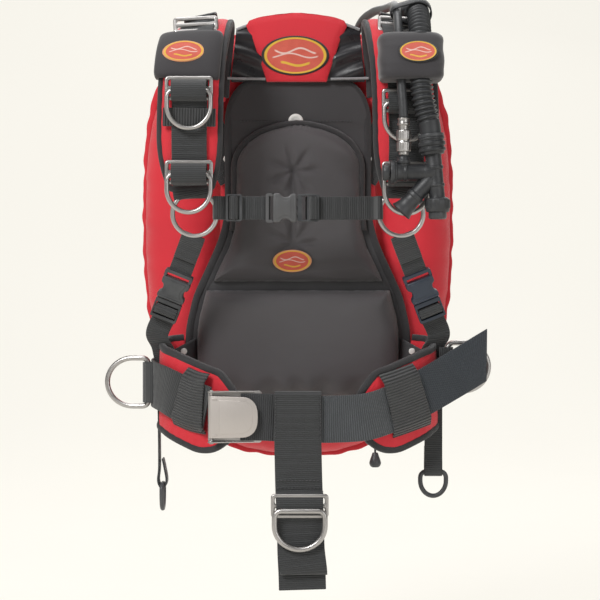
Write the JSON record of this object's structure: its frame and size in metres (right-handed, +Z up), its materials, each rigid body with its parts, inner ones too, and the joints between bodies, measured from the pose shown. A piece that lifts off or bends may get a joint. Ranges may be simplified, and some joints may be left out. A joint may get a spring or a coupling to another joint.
{
  "type": "buoyancy compensator vest",
  "caption": "Back-inflation buoyancy compensator vest: padded webbing harness with a ring-shaped air wing, power inflator and tank band.",
  "frame": {"origin": "neck point: midway between the crests of the two shoulder straps, where the wearer's shoulders or a wide hanger carry the vest", "axes": "+X to the wearer's left, +Y to the rear (tank side), +Z up along the wearer's back"},
  "size_m": [0.4392, 0.3555, 0.6522],
  "materials": {
    "red_nylon": "coated red nylon, plain weave",
    "black_nylon": "heavy black nylon and binding tape",
    "pad_nylon": "satin black nylon over foam",
    "webbing": "woven nylon webbing",
    "steel": "satin stainless steel",
    "plastic": "moulded acetal, fine texture",
    "rubber": "black hose rubber",
    "bladder_film": "translucent polyurethane film"
  },
  "bodies": {
    "root": {"wing_front_shell": "red_nylon", "wing_rear_shell": "red_nylon", "air_bladder": "bladder_film", "back_panel": "black_nylon", "back_plate": "plastic", "upper_back_pad": "pad_nylon", "lumbar_pad": "pad_nylon", "collar_yoke": "red_nylon", "shoulder_pad_left": "red_nylon", "shoulder_web_left": "webbing", "upper_slide_left": "steel", "lower_slide_left": "steel", "harness_ring_left": "steel", "shoulder_pad_right": "red_nylon", "shoulder_web_right": "webbing", "upper_slide_right": "steel", "lower_slide_right": "steel", "harness_ring_right": "steel", "chest_clip_female": "plastic", "chest_web_right": "webbing", "chest_web_left": "webbing", "side_clip_female_left": "plastic", "side_web_left": "webbing", "side_clip_female_right": "plastic", "side_web_right": "webbing", "waistband_left": "red_nylon", "waistband_right": "red_nylon", "waist_web_left": "webbing", "waist_web_right": "webbing", "waist_buckle_frame": "steel", "crotch_loop": "webbing", "corrugated_hose": "rubber", "supply_hose": "rubber", "supply_fitting": "steel", "hose_elbow": "plastic", "inflator_body": "plastic", "supply_coupling": "steel", "dump_valve": "plastic", "tank_band": "webbing", "band_buckle_frame": "steel"},
    "upper_dring_left": {"upper_dring_left": "steel"},
    "lower_dring_left": {"lower_dring_left": "steel"},
    "waist_dring_left": {"waist_dring_left": "steel"},
    "drop_dring_left": {"drop_dring_left": "plastic"},
    "side_clip_male_left": {"side_clip_male_left": "plastic"},
    "upper_dring_right": {"upper_dring_right": "steel"},
    "lower_dring_right": {"lower_dring_right": "steel"},
    "waist_dring_right": {"waist_dring_right": "steel"},
    "drop_dring_right": {"drop_dring_right": "plastic"},
    "side_clip_male_right": {"side_clip_male_right": "plastic"},
    "crotch_strap": {"crotch_strap": "webbing", "crotch_slide": "steel"},
    "crotch_dring": {"crotch_dring": "steel"},
    "waist_buckle_lever": {"waist_buckle_lever": "steel"},
    "band_buckle_lever": {"band_buckle_lever": "steel"},
    "chest_clip_male": {"chest_clip_male": "plastic"},
    "inflate_button": {"inflate_button": "plastic"},
    "exhaust_button": {"exhaust_button": "plastic"},
    "coupling_sleeve": {"coupling_sleeve": "steel"},
    "pull_cord": {"pull_cord": "plastic"}
  },
  "joints": [
    {"name": "upper_dring_left_swing", "type": "hinge", "parent": "root", "child": "upper_dring_left", "pos_m": [0.116, -0.07975, -0.089], "axis": [-1, 0, 0], "range_deg": [0, 4]},
    {"name": "lower_dring_left_swing", "type": "hinge", "parent": "root", "child": "lower_dring_left", "pos_m": [0.116, -0.078, -0.1671], "axis": [-1, 0, 0], "range_deg": [0, 4]},
    {"name": "waist_dring_left_swing", "type": "hinge", "parent": "root", "child": "waist_dring_left", "pos_m": [0.1675, 0.006, -0.375], "axis": [0, 0, 1], "range_deg": [-8, 55]},
    {"name": "drop_dring_left_swing", "type": "hinge", "parent": "root", "child": "drop_dring_left", "pos_m": [0.1515, 0.006, -0.492], "axis": [-1, 0, 0], "range_deg": [-75, 75]},
    {"name": "side_clip_male_left_release", "type": "slide", "parent": "root", "child": "side_clip_male_left", "axis": [0.3562, 0.3019, -0.8843], "range_m": [0, 0.022]},
    {"name": "upper_dring_right_swing", "type": "hinge", "parent": "root", "child": "upper_dring_right", "pos_m": [-0.117, -0.07855, -0.0756], "axis": [-1, 0, 0], "range_deg": [0, 150]},
    {"name": "lower_dring_right_swing", "type": "hinge", "parent": "root", "child": "lower_dring_right", "pos_m": [-0.117, -0.07815, -0.1656], "axis": [-1, 0, 0], "range_deg": [0, 150]},
    {"name": "waist_dring_right_swing", "type": "hinge", "parent": "root", "child": "waist_dring_right", "pos_m": [-0.1675, 0.006, -0.392], "axis": [0, 0, -1], "range_deg": [-60, 55]},
    {"name": "drop_dring_right_swing", "type": "hinge", "parent": "root", "child": "drop_dring_right", "pos_m": [-0.1515, 0.006, -0.506], "axis": [0, 1, 0], "range_deg": [-75, 75]},
    {"name": "side_clip_male_right_release", "type": "slide", "parent": "root", "child": "side_clip_male_right", "axis": [-0.3562, 0.3019, -0.8843], "range_m": [0, 0.022]},
    {"name": "crotch_strap_swing", "type": "hinge", "parent": "root", "child": "crotch_strap", "pos_m": [0, -0.0695, -0.461], "axis": [1, 0, 0], "range_deg": [-60, 70]},
    {"name": "crotch_dring_swing", "type": "hinge", "parent": "crotch_strap", "child": "crotch_dring", "pos_m": [0.002, -0.0807, -0.526], "axis": [-1, 0, 0], "range_deg": [0, 150]},
    {"name": "waist_buckle_open", "type": "hinge", "parent": "root", "child": "waist_buckle_lever", "pos_m": [-0.093, -0.0697, -0.426], "axis": [0, 0, -1], "range_deg": [0, 150]},
    {"name": "band_buckle_open", "type": "hinge", "parent": "root", "child": "band_buckle_lever", "pos_m": [0.09795, 0.19281, -0.27], "axis": [0, 0, -1], "range_deg": [0, 150]},
    {"name": "chest_clip_release", "type": "slide", "parent": "root", "child": "chest_clip_male", "axis": [1, 0, 0], "range_m": [0, 0.03]},
    {"name": "inflate_button_press", "type": "slide", "parent": "root", "child": "inflate_button", "axis": [1, 0, 0], "range_m": [0, 0.004], "stiffness_N_per_m": 700, "springref_m": -0.004},
    {"name": "exhaust_button_press", "type": "slide", "parent": "root", "child": "exhaust_button", "axis": [0, 0, 1], "range_m": [0, 0.004], "stiffness_N_per_m": 700, "springref_m": -0.004},
    {"name": "coupling_sleeve_pull", "type": "slide", "parent": "root", "child": "coupling_sleeve", "axis": [0, 0, 1], "range_m": [0, 0.003], "stiffness_N_per_m": 900, "springref_m": -0.003},
    {"name": "pull_cord_pull", "type": "slide", "parent": "root", "child": "pull_cord", "axis": [0, 0, -1], "range_m": [0, 0.01], "stiffness_N_per_m": 300, "springref_m": -0.004}
  ]
}
